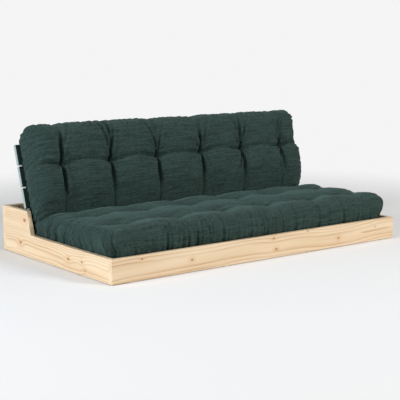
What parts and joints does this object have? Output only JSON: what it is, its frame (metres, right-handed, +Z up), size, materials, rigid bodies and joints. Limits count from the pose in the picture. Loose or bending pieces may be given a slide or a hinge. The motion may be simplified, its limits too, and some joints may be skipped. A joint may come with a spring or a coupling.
{
  "type": "futon sofa bed",
  "caption": "Low pine box sofa with a tufted futon folded over a pull-out slatted seat deck and a leaning slatted backrest that drops flat as the deck comes out, making a bed.",
  "frame": {"origin": "on the floor, under the middle of the sofa's outline", "axes": "+X along the sofa to its right end, +Y from the front board to the rear board, +Z up"},
  "size_m": [2.04, 1.14, 0.7247],
  "materials": {
    "pine": "clear satin lacquer on knotty pine",
    "green_lacquer": "dark green satin lacquer on pine",
    "futon_cover": "dark green fine-ribbed velvet cotton",
    "tuft_thread": "dark green cotton yarn",
    "felt": "pressed grey felt",
    "zinc_steel": "zinc plated steel"
  },
  "bodies": {
    "box": {"side_panel_left": "pine", "side_panel_right": "pine", "rear_board": "pine", "side_runner_left": "pine", "side_runner_right": "pine", "middle_runner_left": "pine", "middle_runner_right": "pine", "front_tie": "pine", "rear_board_screws": "zinc_steel", "side_runner_screws": "zinc_steel", "tie_screws": "zinc_steel", "floor_glides": "felt"},
    "seat_deck": {"front_board": "pine", "front_glides": "felt", "seat_rail_1": "pine", "seat_rail_2": "pine", "seat_rail_3": "pine", "seat_rail_4": "pine", "seat_crosspiece_left": "pine", "seat_crosspiece_middle": "pine", "seat_crosspiece_right": "pine", "seat_slat_1": "pine", "seat_slat_2": "pine", "seat_slat_3": "pine", "seat_slat_4": "pine", "seat_slat_5": "pine", "seat_slat_6": "pine", "seat_slat_7": "pine", "seat_slat_screws": "zinc_steel", "front_brackets": "zinc_steel", "bracket_screws": "zinc_steel", "stop_blocks": "pine", "hinge_bolts": "zinc_steel", "ratchet_seat_plates": "zinc_steel", "seat_plate_screws": "zinc_steel", "seat_mattress": "futon_cover", "seat_tuft_ties": "tuft_thread"},
    "backrest": {"hinge_washers": "zinc_steel", "hinge_nuts": "zinc_steel", "ratchet_back_plates": "zinc_steel", "back_plate_screws": "zinc_steel", "back_stile_1": "green_lacquer", "back_stile_2": "green_lacquer", "back_stile_3": "green_lacquer", "back_stile_4": "green_lacquer", "back_slat_1": "green_lacquer", "back_slat_2": "green_lacquer", "back_slat_3": "green_lacquer", "back_slat_4": "green_lacquer", "back_slat_screws": "zinc_steel", "back_mattress": "futon_cover", "back_tuft_ties": "tuft_thread"}
  },
  "joints": [
    {"name": "seat_slide", "type": "slide", "parent": "box", "child": "seat_deck", "axis": [0, -1, 0], "range_m": [0, 0.505]},
    {"name": "back_fold", "type": "hinge", "parent": "seat_deck", "child": "backrest", "pos_m": [0, 0.32265, 0.0415], "axis": [-1, 0, 0], "range_deg": [0, 72.7]}
  ],
  "couplings": [
    {"joint": "back_fold", "follows": "seat_slide", "rad_per_m": 2.5125}
  ]
}
